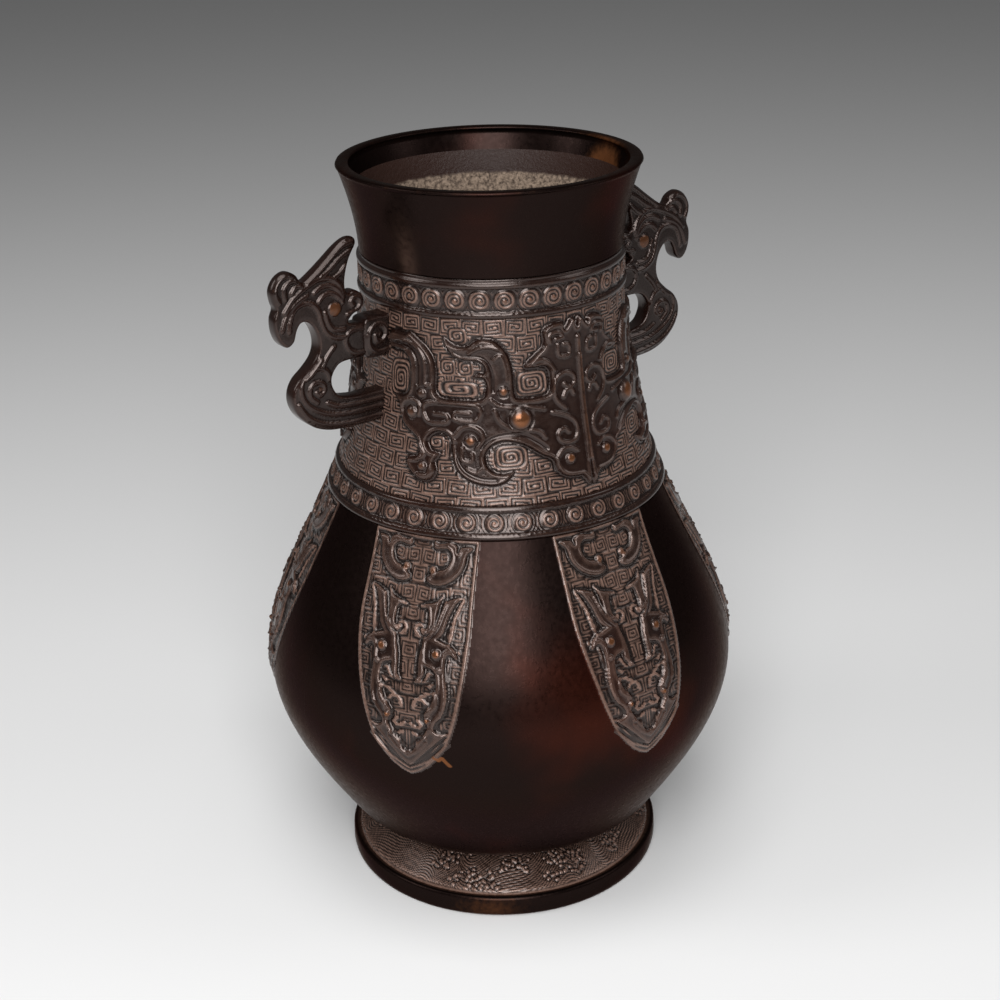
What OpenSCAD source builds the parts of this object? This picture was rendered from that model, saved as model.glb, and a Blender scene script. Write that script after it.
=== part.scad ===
// Bronze hu vase with two bird-head handles, cast in the archaistic style
// The main mask faces -Y, the handles stand on the X axis, and the foot rests on z = 0

/* [Vessel] */
// Height from the foot to the rim
height = 300; // [285:1:315]
// Radius of the rim at its outer edge
rim_r = 58.4; // [56:0.1:62]
// Width of the lip at the rim
lip_w = 5.2; // [4.6:0.1:6]
// How far the edges of the lip are eased
lip_ease = 0.9; // [0.4:0.1:1.4]
// Radius of the throat, the narrowest part of the neck
throat_r = 51; // [48:0.5:53]
// Depth of the throat below the rim
throat_drop = 36; // [30:1:42]
// Radius where the belly begins, under the lower whorl band
shoulder_r = 67.4; // [64:0.1:70]
// Height where the belly begins
shoulder_z = 171; // [168:0.5:174]
// Radius of the belly at its widest
belly_r = 96; // [92:0.5:100]
// Height of the widest part of the belly
belly_z = 94; // [88:1:100]
// Radius of the belly where it turns in towards the foot
undercut_r = 69; // [66:0.5:72]
// Height where the belly turns in towards the foot
undercut_z = 34; // [32:0.5:38]
// Thickness of the cast wall
wall = 3.6; // [3:0.1:4.4]
// Thickness of the floor of the vessel
floor_t = 5; // [4:0.5:6]

/* [Foot] */
// Radius of the foot at the bottom
foot_r = 64.2; // [62:0.1:68]
// Radius at the top of the plain edge band
edge_r = 62.6; // [60:0.1:64]
// Height of the plain edge band
edge_h = 7.8; // [6:0.1:10]
// Width of the ledge between the edge band and the wave apron
ledge_w = 1.2; // [0.5:0.1:2]
// Radius of the waist between the belly and the foot
waist_r = 47.5; // [45:0.5:50]
// Height of the top of the wave apron
apron_z = 21; // [19:0.5:22]
// Height where the waist meets the belly
waist_z = 24; // [23:0.5:26]
// Thickness of the foot ring
foot_wall = 5.5; // [4.5:0.5:7]

/* [Bands] */
// Height of the ridge above the upper whorl band
ridge_top_z = 264; // [262:0.5:266]
// Height of the ridge between the upper whorls and the mask band
ridge_mask_z = 253; // [251:0.5:254]
// Height of the ridge between the mask band and the lower whorls
ridge_low_z = 181.4; // [180:0.2:182]
// Height of the ridge between the lower whorls and the belly
ridge_belly_z = 172; // [171:0.2:173]
// Width of each ridge
ridge_w = 2.4; // [1.8:0.1:3]
// How far each ridge stands out of the wall
ridge_h = 1.1; // [0.7:0.1:1.5]

/* [Handles] */
// Distance of each handle's eye from the axis of the vase
eye_r = 74; // [72:0.5:76]
// Height of each handle's eye
eye_z = 255; // [253:0.5:257]
// Radius of each handle's eye
eye_size = 2.3; // [1.6:0.1:3]
// How far each eye stands out of the side of the head
eye_rise = 0.6; // [0.3:0.1:1]
// Reach of the chest of each handle from the axis of the vase
chest_r = 94; // [91:0.5:97]
// Height of the top of the upper arm
upper_arm_z = 247.5; // [246:0.5:249]
// Depth of the upper arm
upper_arm_h = 13.6; // [12:0.2:15]
// Height of the underside of the lower arm
lower_arm_z = 206.8; // [205:0.2:208]
// Depth of the lower arm
lower_arm_h = 12.2; // [10:0.2:13]
// Thickness of the arms and chest of a handle, side to side
arm_w = 8.4; // [7.4:0.2:9.4]
// Thickness of the head, side to side
head_w = 7.4; // [6.6:0.2:8.4]
// Thickness of the crest, side to side
crest_w = 5.4; // [4.6:0.2:6.4]
// Length of the square lug at each handle root
lug_l = 5; // [4:0.5:7]
// How far each lug stands out past the handle, side to side
lug_step = 1; // [0.6:0.1:1.5]

/* [Hidden] */
bronze = "#3a2820";
bronze_worn = "#54382a";
turn_fn = 72;
// How far a piece that is joined to another reaches into it before the cut
bury = 1.5;
throat_z = height - throat_drop;
roof_z = waist_z + wall - floor_t;

// A smooth curve from point a, leaving along da, towards point b, arriving along db, without b
function blend(a, da, b, db, n) = [
    for (i = [0 : n - 1])
        let (t = i / n, u = 1 - t)
        (1 + 2 * t) * u * u * a + t * u * u * da + t * t * (3 - 2 * t) * b - t * t * u * db
];

// Unit vector along v
function unit(v) = v / norm(v);

// The direction square to the line through the neighbours of point i, on its left
function left_of(pts, i) =
    let (n = len(pts), d = unit(pts[(i + 1) % n] - pts[(i + n - 1) % n]))
    [-d[1], d[0]];

// The outer line of the vessel from the rim down to the waist, as [radius, height]
throat = [throat_r, throat_z];
shoulder = [shoulder_r, shoulder_z];
belly = [belly_r, belly_z];
undercut = [undercut_r, undercut_z];
waist = [waist_r, waist_z];
outer_line = concat(
    blend([rim_r, height], [-13, -throat_drop], throat, [0, -throat_drop], 6),
    blend(throat, [0, shoulder_z - throat_z], shoulder, [38, shoulder_z - throat_z], 9),
    blend(shoulder, [32, belly_z - shoulder_z], belly, [0, belly_z - shoulder_z], 9),
    blend(belly, [0, undercut_z - belly_z], undercut, [-40, undercut_z - belly_z], 8),
    blend(undercut, [-10, -15], waist, [-30, 0], 6),
    [waist]
);

// Radius of the outer wall at height z
function wall_r(z) = lookup(z, [for (p = outer_line) [p[1], p[0]]]);

// The inner line, one wall thickness inside the outer one, from below the lip down to the floor
last = len(outer_line) - 1;
inner_line = concat(
    [for (i = [2 : last - 1]) outer_line[i] - wall * left_of(outer_line, i)],
    [[waist_r, waist_z + wall], [0, waist_z + wall]]
);

// One ridge round the vessel at height z, with an eased top
ridge_half = ridge_w / 2;
ridges = [ridge_top_z, ridge_mask_z, ridge_low_z, ridge_belly_z];
function ridge_at(z, out, up) = [wall_r(z) + out * ridge_h, z + up * ridge_half];
function ridge_line(z) = [
    [wall_r(z + ridge_half), z + ridge_half], ridge_at(z, 0.75, 0.6), ridge_at(z, 1, 0.2),
    ridge_at(z, 1, -0.2), ridge_at(z, 0.75, -0.6), [wall_r(z - ridge_half), z - ridge_half]
];

// The outer line between two heights, and the whole of it with its ridges
function line_between(top, bottom) = [for (p = outer_line) if (p[1] < top && p[1] > bottom) p];
ridged_line = concat(
    line_between(height, ridges[0] + ridge_half),
    [for (i = [0 : len(ridges) - 1])
        each concat(
            ridge_line(ridges[i]),
            line_between(ridges[i] - ridge_half, i < len(ridges) - 1 ? ridges[i + 1] + ridge_half : waist_z)
        )
    ],
    [waist]
);

// The turned section of the whole casting
section = concat(
    [[rim_r - lip_ease, height], [rim_r, height - lip_ease]],
    ridged_line,
    [[waist_r, apron_z], [edge_r - ledge_w, edge_h + ledge_w / 2], [edge_r, edge_h], [foot_r, 0]],
    [[foot_r - foot_wall, 0], [edge_r - foot_wall, edge_h], [waist_r - foot_wall, apron_z - ledge_w]],
    [[waist_r - foot_wall, roof_z], [0, roof_z]],
    [for (i = [len(inner_line) - 1 : -1 : 0]) inner_line[i]],
    [[rim_r - lip_w, height - lip_ease], [rim_r - lip_w + lip_ease, height]]
);

// The neck below the throat as a solid, which the handles are seated on
module neck_form() {
    neck_line = [for (p = outer_line) if (p[1] <= throat_z && p[1] >= shoulder_z) p];
    rotate([0, 0, 90])
        rotate_extrude($fn = turn_fn)
            polygon(concat([[0, throat_z]], neck_line, [[0, shoulder_z]]));
}

module vase_body() {
    color(bronze)
        rotate_extrude($fn = turn_fn)
            polygon(section);
}

// Points of a closed line through pts, with one more point curved in between each pair
function softened(pts) =
    let (n = len(pts))
    [for (i = [0 : n - 1])
        each [
            pts[i],
            (9 * (pts[i] + pts[(i + 1) % n]) - pts[(i + n - 1) % n] - pts[(i + 2) % n]) / 16
        ]
    ];

// The side outline of a handle, as [distance from the axis, height], anticlockwise
eye = [eye_r, eye_z];
root_r = throat_r - bury;
lower_top_z = lower_arm_z + lower_arm_h;
upper_under_z = upper_arm_z - upper_arm_h;
function lower_at(x, z) = [chest_r + x, lower_arm_z + z];
function from_eye(list) = [for (p = list) eye + p];
under_and_chest = [
    [root_r, lower_arm_z], [root_r + 6, lower_arm_z], [root_r + 14, lower_arm_z], lower_at(-24, 0.2),
    lower_at(-16, 0.9), lower_at(-10, 2.8), lower_at(-5.5, 5.9), lower_at(-1.8, 10), lower_at(0, 14.7),
    lower_at(-0.4, 19.2), lower_at(-2.8, 23.2), lower_at(-7, 26.5), lower_at(-11, 30.5)
];
throat_and_beak = from_eye([
    [7.2, -13.5], [7.7, -9], [9.6, -4.5], [12.2, -2.4], [14.6, -3], [16.2, -5.7], [17.6, -9.4],
    [20.3, -11.1], [23, -9.2], [24.8, -5], [25.1, 0], [23.9, 3.8]
]);
front_curl = from_eye([[24.7, 6.5], [24.9, 11], [22.5, 15.3], [18.3, 17], [14.3, 15.3], [12.3, 11.8]]);
crest = from_eye([
    [8, 14.3], [2.5, 18.7], [-3, 23], [-7.5, 25.3], [-11, 25], [-11.7, 22.5], [-8.5, 17.5], [-6.4, 12], [-5.7, 7]
]);
back_curl = from_eye([[-6.6, 4.2], [-9.4, 5.2], [-12.6, 3.4], [-13.4, 0], [-11.4, -2.8], [-7.8, -3.4], [-4.4, -5.2]]);
upper_arm_top = [
    [root_r + 18, upper_arm_z - 0.3], [root_r + 12, upper_arm_z], [root_r + 6, upper_arm_z], [root_r, upper_arm_z]
];
finger_gap = [
    [root_r, upper_under_z], [root_r + 6, upper_under_z], [root_r + 13, upper_under_z],
    [chest_r - 21.5, upper_under_z - 0.2], [chest_r - 17.8, upper_under_z - 2.8],
    [chest_r - 16.2, upper_under_z - 6.6], [chest_r - 16.7, lower_top_z + 4.4],
    [chest_r - 19.4, lower_top_z + 1.2], [root_r + 18, lower_top_z + 0.2],
    [root_r + 12, lower_top_z], [root_r + 6, lower_top_z], [root_r, lower_top_z]
];
handle_outline = softened(concat(
    under_and_chest, throat_and_beak, front_curl, crest, back_curl, upper_arm_top, finger_gap
));

// A closed outline from a list of [place, half width], the same on both sides of zero
function both_sides(halves) = concat(
    [for (h = halves) [h[1], h[0]]],
    [for (i = [len(halves) - 1 : -1 : 0]) [-halves[i][1], halves[i][0]]]
);

// The handle seen from outside and from above, each as [place, half width]
arm_half = arm_w / 2;
crest_half = crest_w / 2;
front_halves = [
    [lower_arm_z - bury, arm_half - 1.6], [lower_arm_z + 0.8, arm_half - 0.5], [lower_arm_z + 3, arm_half],
    [upper_arm_z, arm_half], [eye_z, head_w / 2], [eye_z + 16, crest_half + 0.2], [eye_z + 22, crest_half],
    [eye_z + 26, crest_half - 1.2]
];
plan_halves = [
    [root_r, arm_half], [chest_r - 8, arm_half], [chest_r - 3, arm_half - 0.4], [chest_r, arm_half - 1.2],
    [eye_r + 26, arm_half - 2]
];

// A handle at +X before it is cut to the neck: its outlines from the side, the front and above
module handle_form() {
    intersection() {
        rotate([90, 0, 0])
            linear_extrude(2 * arm_w, center = true)
                polygon(handle_outline);
        rotate([90, 0, 90])
            linear_extrude(2 * chest_r)
                polygon(both_sides(front_halves));
        rotate([0, 0, -90])
            linear_extrude(height)
                polygon(both_sides(plan_halves));
    }
}

// The square lug that the upper arm ends in
module lug() {
    lug_w = arm_w + 2 * lug_step;
    lug_end = wall_r(upper_arm_z) + lug_l;
    translate([root_r + bury, -lug_w / 2, upper_under_z - lug_step / 2])
        cube([lug_end - root_r - bury, lug_w, upper_arm_h + lug_step]);
}

// A handle at +X, cut to the curve of the neck where its two arms meet it
module handle() {
    eye_l = head_w + 2 * eye_rise;
    difference() {
        union() {
            handle_form();
            lug();
            translate([eye_r, 0, eye_z])
                rotate([90, 0, 0])
                    cylinder(h = eye_l, r = eye_size, center = true, $fn = 24);
        }
        neck_form();
    }
}

module left_handle() {
    color(bronze_worn)
        mirror([1, 0, 0])
            handle();
}

module right_handle() {
    color(bronze_worn)
        handle();
}

vase_body();
left_handle();
right_handle();
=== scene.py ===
import math
import random

import bpy
import numpy as np
from mathutils import Matrix, Vector
from mathutils.geometry import delaunay_2d_cdt


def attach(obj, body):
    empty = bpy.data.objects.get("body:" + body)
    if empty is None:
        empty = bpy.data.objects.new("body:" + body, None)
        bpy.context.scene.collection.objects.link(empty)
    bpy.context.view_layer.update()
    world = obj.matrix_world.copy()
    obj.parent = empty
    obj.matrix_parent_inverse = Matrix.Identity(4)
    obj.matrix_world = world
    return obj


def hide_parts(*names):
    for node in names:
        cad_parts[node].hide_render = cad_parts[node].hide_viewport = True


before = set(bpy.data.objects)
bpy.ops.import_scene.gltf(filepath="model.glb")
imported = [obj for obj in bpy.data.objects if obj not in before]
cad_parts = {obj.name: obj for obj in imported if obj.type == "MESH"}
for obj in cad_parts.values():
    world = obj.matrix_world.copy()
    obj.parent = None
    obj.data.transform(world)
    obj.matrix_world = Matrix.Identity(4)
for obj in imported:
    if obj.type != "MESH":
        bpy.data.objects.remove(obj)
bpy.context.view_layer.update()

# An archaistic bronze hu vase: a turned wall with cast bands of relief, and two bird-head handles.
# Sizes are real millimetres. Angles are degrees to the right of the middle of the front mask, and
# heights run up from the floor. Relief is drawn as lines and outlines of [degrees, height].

MM = 0.001

# The vessel, from the rim down
HEIGHT = 300.0
RIM_R = 58.4
LIP_W = 5.2
LIP_EASE = 0.9
THROAT_R = 51.0
THROAT_Z = 264.0
SHOULDER_R = 67.4
SHOULDER_Z = 171.0
BELLY_R = 96.0
BELLY_Z = 94.0
UNDERCUT_R = 69.0
UNDERCUT_Z = 34.0
WAIST_R = 47.5
WAIST_Z = 24.0
WALL = 3.6
FLOOR_T = 5.0

# The foot
FOOT_R = 66.0
FOOT_EASE = 1.8
EDGE_H = 8.8
LEDGE_W = 1.6
APRON_Z = 21.0
FOOT_WALL = 5.5

# The ridges between the bands
RIDGE_TOP_Z = 264.0
RIDGE_MASK_Z = 253.0
RIDGE_LOW_Z = 181.4
RIDGE_BELLY_Z = 172.0
RIDGE_W = 2.4
RIDGE_H = 1.1

# How far the shells that carry the relief reach into the wall, and the wall's rebate under them
SHELL_DEPTH = 1.6
REBATE = 2.0

# Where the bands of relief start and end
WHORLS_TOP_Z = 266.4
MASK_TOP_Z = 251.6
MASK_END_Z = 182.8
BELLY_TOP_Z = 170.6
BLADES_END_Z = 83.0

# Spacing of the leiwen threads, drawn a little wider than the real 1.15 so that they show, and the
# width and height of a tile of them on the neck and on a blade
THREAD = 1.25
NECK_TILE = (9.0, 6.6)
BLADE_TILE = (7.2, 6.4)


def srgb(code):
    """A hex colour as linear light, with a full alpha."""
    parts = [int(code[i:i + 2], 16) / 255 for i in (1, 3, 5)]
    return *(v / 12.92 if v <= 0.04045 else ((v + 0.055) / 1.055) ** 2.4 for v in parts), 1.0


# Lines of the section, as [radius, height]

def bend(a, leave, b, arrive, n):
    """A smooth curve from a, leaving along one direction, towards b, arriving along another."""
    t = np.linspace(0, 1, n, endpoint=False)[:, None]
    u = 1 - t
    a, leave, b, arrive = (np.array(v, float) for v in (a, leave, b, arrive))
    return (1 + 2 * t) * u * u * a + t * u * u * leave + t * t * (3 - 2 * t) * b - t * t * u * arrive


def vessel_line():
    """The outer line of the vessel from the rim down to the waist."""
    throat, shoulder = (THROAT_R, THROAT_Z), (SHOULDER_R, SHOULDER_Z)
    belly, undercut, waist = (BELLY_R, BELLY_Z), (UNDERCUT_R, UNDERCUT_Z), (WAIST_R, WAIST_Z)
    neck, fall = SHOULDER_Z - THROAT_Z, BELLY_Z - SHOULDER_Z
    return np.vstack([
        bend((RIM_R, HEIGHT), (-13, THROAT_Z - HEIGHT), throat, (0, THROAT_Z - HEIGHT), 160),
        bend(throat, (0, neck), shoulder, (38, neck), 400),
        bend(shoulder, (32, fall), belly, (0, fall), 400),
        bend(belly, (0, UNDERCUT_Z - BELLY_Z), undercut, (-40, UNDERCUT_Z - BELLY_Z), 400),
        bend(undercut, (-11, -16.6), waist, (-30, 0), 160),
        np.array([waist]),
    ])


LINE = vessel_line()
STEPS = np.r_[0, np.cumsum(np.hypot(*np.diff(LINE, axis=0).T))]


def along(down, line=LINE, steps=STEPS):
    """Points of a line at distances down it, and the outward direction at each, taken over 1.2 mm."""
    def at(d):
        return np.column_stack([np.interp(d, steps, line[:, i]) for i in (0, 1)])
    run = at(down + 0.6) - at(down - 0.6)
    run /= np.linalg.norm(run, axis=1)[:, None]
    return at(down), np.column_stack([-run[:, 1], run[:, 0]])


def reach(z):
    """Distance down the vessel line from the rim to height z."""
    return np.interp(-z, -LINE[:, 1], STEPS)


def wall_r(z):
    """Radius of the wall at height z."""
    return np.interp(-np.asarray(z, float), -LINE[:, 1], LINE[:, 0])


# Lines of relief

def rounded(points, steps=5, closed=False):
    """A line through points, curved between them."""
    p = np.asarray(points, float)
    before = np.roll(p, 1, 0) if closed else np.vstack([p[:1], p[:-1]])
    after = np.roll(p, -1, 0) if closed else np.vstack([p[1:], p[-1:]])
    beyond = np.roll(p, -2, 0) if closed else np.vstack([p[2:], p[-1:], p[-1:]])
    count = len(p) if closed else len(p) - 1
    t = np.linspace(0, 1, steps, endpoint=False)[:, None, None]
    a, b, c, d = (q[:count] for q in (before, p, after, beyond))
    curve = b + 0.5 * t * (c - a + t * (2 * a - 5 * b + 4 * c - d + t * (3 * (b - c) + d - a)))
    curve = curve.transpose(1, 0, 2).reshape(-1, 2)
    return curve if closed else np.vstack([curve, p[-1:]])


def distance(x, z, line):
    """Distance of each point from a line."""
    best = np.full(np.shape(x), 1e9)
    for a, b in zip(line[:-1], line[1:]):
        run = b - a
        share = np.clip(((x - a[0]) * run[0] + (z - a[1]) * run[1]) / (run @ run + 1e-9), 0, 1)
        best = np.minimum(best, (x - a[0] - share * run[0]) ** 2 + (z - a[1] - share * run[1]) ** 2)
    return np.sqrt(best)


def within(x, z, outline):
    """True for the points inside a closed outline."""
    flag = np.zeros(np.shape(x), bool)
    for a, b in zip(outline, np.roll(outline, -1, 0)):
        if a[1] != b[1]:
            crosses = (a[1] > z) != (b[1] > z)
            flag ^= crosses & (x < a[0] + (z - a[1]) / (b[1] - a[1]) * (b[0] - a[0]))
    return flag


def swell(t):
    """A soft step from 0 to 1."""
    t = np.clip(t, 0, 1)
    return t * t * (3 - 2 * t)


class Relief:
    """A sheet of the wall with what is cast on it: how far it lifts, its dust, and its rubbed spots and
    painted highlights.
    """

    def __init__(self, x, z):
        self.x, self.z = np.broadcast_arrays(x, z)
        self.lift = np.zeros(self.x.shape)
        self.lines = np.zeros(self.x.shape)
        self.cuts = np.zeros(self.x.shape)
        self.dust = np.zeros(self.x.shape)
        self.rub_and_highlight = np.zeros(self.x.shape)
        self.pale = 0.0
        self.warm = np.zeros(self.x.shape)

    def near(self, line, margin):
        """The window of the sheet round a line."""
        low, high = line.min(0) - margin, line.max(0) + margin
        hit = (self.x > low[0]) & (self.x < high[0]) & (self.z > low[1]) & (self.z < high[1])
        rows, cols = np.flatnonzero(hit.any(1)), np.flatnonzero(hit.any(0))
        if not len(rows):
            return None
        return slice(rows[0], rows[-1] + 1), slice(cols[0], cols[-1] + 1)

    def depth_in(self, outline):
        """Distance inside a closed outline, negative outside it."""
        gap = distance(self.x, self.z, np.vstack([outline, outline[:1]]))
        return np.where(within(self.x, self.z, outline), gap, -gap)

    def stroke(self, line, width, rise, rub_and_highlight=0.0, layer="lines"):
        """A raised line, or a cut one, round in section."""
        window = self.near(line, width)
        if window:
            gap = distance(self.x[window], self.z[window], line) / (width / 2)
            form = np.sqrt(np.clip(1 - gap ** 2, 0, 1)) * rise
            sheet = getattr(self, layer)
            sheet[window] = np.maximum(sheet[window], form)
            self.rub_and_highlight[window] = np.maximum(self.rub_and_highlight[window], rub_and_highlight * np.clip(1.3 - gap, 0, 1))

    def bead(self, place, radius, rise, rub_and_highlight=1.0, squash=1.0):
        """A round boss."""
        place = np.asarray(place, float)
        window = self.near(place[None], radius * 1.6)
        if window:
            gap = np.hypot(self.x[window] - place[0], (self.z[window] - place[1]) * squash) / radius
            dome = np.sqrt(np.clip(1 - gap ** 2, 0, 1)) * rise
            ring = -0.3 * np.exp(-((gap - 1.12) / 0.12) ** 2)
            self.lines[window] = np.where(gap < 1, dome, np.minimum(self.lines[window], 9) + ring)
            bright = rub_and_highlight * np.clip(1.6 * (1 - gap) + 0.1, 0, 1) * (gap < 1)
            self.rub_and_highlight[window] = np.maximum(self.rub_and_highlight[window], bright)

    def settle(self):
        """Adds the lines and cuts to the lift."""
        self.lift = self.lift + self.lines - self.cuts
        self.lines = np.zeros(self.x.shape)
        self.cuts = np.zeros(self.x.shape)


def threads(x, z, middle, half, power=9.0, turn=1):
    """Leiwen threads of one tile, from 0 to 1: a squared spiral that winds in from the tile's edge."""
    u, v = (x - middle[0]) / half[0], (z - middle[1]) / half[1]
    inward = (1 - (np.abs(u) ** power + np.abs(v) ** power) ** (1 / power)) * min(half)
    if power > 6:
        inward = np.minimum(half[0] - np.abs(x - middle[0]), half[1] - np.abs(z - middle[1]))
    around = turn * np.arctan2(v, u) / (2 * math.pi)
    return 0.5 + 0.5 * np.cos(2 * math.pi * (inward / THREAD + around)), inward


def leiwen(x, z, tile, foot):
    """Leiwen threads over a whole ground, in rows of tiles, each row half a tile off the last."""
    tile_w, tile_h = tile
    row = np.floor((z - foot) / tile_h)
    across = x / tile_w + 0.5 * (row % 2)
    column = np.floor(across)
    dx = (across - column - 0.5) * tile_w
    dz = (z - foot - (row + 0.5) * tile_h)
    turn = np.where((row + column) % 2 == 0, 1, -1)
    return threads(dx, dz, (0, 0), (tile_w / 2, tile_h / 2), turn=turn)[0]


def blurred(sheet, n):
    """A sheet averaged over a square that reaches n points each way."""
    for axis in (0, 1):
        padded = np.pad(sheet, [(n + 1, n) if a == axis else (0, 0) for a in (0, 1)], mode="edge")
        sums = np.cumsum(padded, axis)
        size = sheet.shape[axis]
        upper = np.take(sums, range(2 * n + 1, 2 * n + 1 + size), axis)
        lower = np.take(sums, range(0, size), axis)
        sheet = (upper - lower) / (2 * n + 1)
    return sheet


# Meshes

def mesh_piece(name, points, faces, materials, node="vase_body", fields=None,
               second=None, smooth=None):
    """A closed piece from points in millimetres and arrays of faces. Fields are values for the material
    at each point, second is 1 for each face of the second material, and the first smooth faces are
    shaded smooth, or all of them."""
    mesh = bpy.data.meshes.new(name)
    mesh.vertices.add(len(points))
    mesh.vertices.foreach_set("co", (np.asarray(points) * MM).astype(np.float32).ravel())
    mesh.loops.add(sum(f.size for f in faces))
    mesh.loops.foreach_set("vertex_index", np.concatenate([f.ravel() for f in faces]).astype(np.int32))
    starts, at = [], 0
    for f in faces:
        starts.append(at + np.arange(len(f)) * f.shape[1])
        at += f.size
    starts = np.concatenate(starts).astype(np.int32)
    mesh.polygons.add(len(starts))
    mesh.polygons.foreach_set("loop_start", starts)
    for material in materials:
        mesh.materials.append(material)
    if second is not None:
        mesh.polygons.foreach_set("material_index", second.astype(np.int32))
    mesh.update(calc_edges=True)
    mesh.validate()
    for field, values in (fields or {}).items():
        layer = mesh.attributes.new(field, "FLOAT", "POINT")
        layer.data.foreach_set("value", values.astype(np.float32).ravel())
    mesh.polygons.foreach_set("use_smooth", np.arange(len(starts)) < (smooth or len(starts)))
    piece = bpy.data.objects.new(name, mesh)
    bpy.context.scene.collection.objects.link(piece)
    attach(piece, "root")
    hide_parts(node)
    return piece


def quads(rows, cols, first=0, closed=True):
    """Faces of a grid of points, rows by columns, closed round or open."""
    j = np.arange(cols if closed else cols - 1)
    k = (j + 1) % cols
    i = np.arange(rows - 1)[:, None] * cols
    return np.stack([i + j, i + cols + j, i + cols + k, i + k], -1).reshape(-1, 4) + first


def turned(angles, line):
    """Points of a line [radius, height] turned to each angle in radians, one row per point of the line."""
    radius, height = line[..., 0], line[..., 1]
    return np.stack([radius * np.sin(angles), -radius * np.cos(angles), height * np.ones_like(angles)], -1)


def shell(name, angles, line, out, relief, materials, closed, second=None):
    """A closed shell on the wall: a fine outer face lifted by its relief, and a plain back in the wall."""
    lift = relief.lift
    rows, cols = lift.shape
    angles = np.broadcast_to(angles, (rows, cols))
    face = turned(angles, line[:, None, :] + out[:, None, :] * lift[..., None])
    picks = np.unique(np.linspace(0, rows - 1, min(rows, 14)).round().astype(int))
    back = turned(angles[picks], (line - SHELL_DEPTH * out)[picks][:, None, :])
    b0 = rows * cols
    top = np.arange(cols if closed else cols - 1)
    nxt = (top + 1) % cols
    faces = [quads(rows, cols, 0, closed), quads(len(picks), cols, b0, closed)[:, ::-1]]
    faces.append(np.stack([top, nxt, b0 + nxt, b0 + top], -1))
    f1, b1 = (rows - 1) * cols, b0 + (len(picks) - 1) * cols
    faces.append(np.stack([f1 + top, b1 + top, b1 + nxt, f1 + nxt], -1))
    if not closed:
        for side in (0, cols - 1):
            for n, (a, b) in enumerate(zip(picks[:-1], picks[1:])):
                rim = [i * cols + side for i in range(a, b + 1)]
                loop = rim + [b0 + (n + 1) * cols + side, b0 + n * cols + side]
                faces.append(np.array([loop[::-1] if side == 0 else loop]))
    points = np.concatenate([face.reshape(-1, 3), back.reshape(-1, 3)])
    # How far each point stands above its surroundings, which the material paints as light on tops and as
    # shade in hollows
    crest = np.clip((lift - blurred(lift, 4)) / 0.5 + relief.pale, -1, 1)
    pad = np.zeros(len(points) - b0)
    fields = {"dust": relief.dust, "rub_and_highlight": relief.rub_and_highlight, "crest": crest, "warm": relief.warm}
    fields = {k: np.r_[v.ravel(), pad] for k, v in fields.items()}
    if second is not None:
        second = np.r_[second.ravel(), np.zeros(sum(len(f) for f in faces[1:]))]
    return mesh_piece(name, points, faces, materials, fields=fields, second=second, smooth=len(faces[0]))


def turned_piece(name, line, columns, materials, second, fields):
    """A closed body turned from a closed line."""
    angles = np.arange(columns) * 2 * math.pi / columns
    points = turned(angles[None, :], line[:, None, :])
    rows = len(line)
    grid = quads(rows + 1, columns) % (rows * columns)
    return mesh_piece(name, points.reshape(-1, 3), [grid], materials, second=np.repeat(second, columns),
                      fields=fields)


def spot(angle, z, place, spread):
    """A soft spot round a place on the wall, as [degrees, height]."""
    turn = (angle - place[0] + 180) % 360 - 180
    return np.exp(-(turn / spread[0]) ** 2 - ((z - place[1]) / spread[1]) ** 2)


# Materials

def add(tree, kind, inputs=None, out=0, **settings):
    """Adds a node with its settings and its inputs, each a value or another node's output, and gives
    the output that is asked for."""
    node = tree.nodes.new(kind)
    for key, value in settings.items():
        setattr(node, key, value)
    for key, value in (inputs or {}).items():
        if isinstance(value, bpy.types.NodeSocket):
            tree.links.new(value, node.inputs[key])
        else:
            node.inputs[key].default_value = value
    return node.outputs[out] if node.outputs else None


def new_material(name):
    """An empty material and its nodes."""
    material = bpy.data.materials.new(name)
    material.use_nodes = True
    material.node_tree.nodes.clear()
    return material, material.node_tree


def per_metre(width):
    """The scale of a noise whose blotches are so many millimetres wide."""
    return 1 / (width * MM)


# Settings of the nodes that blend, carry a value softly into another range, or work out a value. A Mix
# node's colour inputs are numbers 6 and 7, and its colour output is number 2
BLEND = {"out": 2, "data_type": "RGBA"}
FACTOR, COLOUR_A, COLOUR_B = 0, 6, 7
SOFTLY = {"interpolation_type": "SMOOTHSTEP"}
SUM = {"operation": "ADD", "use_clamp": True}
PRODUCT = {"operation": "MULTIPLY", "use_clamp": True}
PRODUCT_AND_SUM = {"operation": "MULTIPLY_ADD", "use_clamp": True}

# Dust, painted near black where it is sunk as shade and pale where it stands up as highlight, metal that
# hands have rubbed bare, also used for painted highlights, and the bare skin, the hollows and the tops of the
# rough inside
POWDER_IN_SHADE, POWDER_LIT = "#0b0605", "#7c6155"
RUBBED_METAL_AND_HIGHLIGHT = "#71462a"
SKIN_INSIDE, SAND_SUNK, SAND_RAISED = "#26150f", "#352a23", "#8f7d6d"

# Widths in millimetres of the clouds and specks of the patina, the marks of rubbing, and the grit of the
# mould, which is really about 0.3 and is drawn coarser so that it shows, as are the grains of sand inside
CLOUD, SPECK, MARK, GRIT = 60, 2.2, 1.0, 0.9
SAND_GRAIN, SAND_PATCH = 1.4, 5


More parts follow.
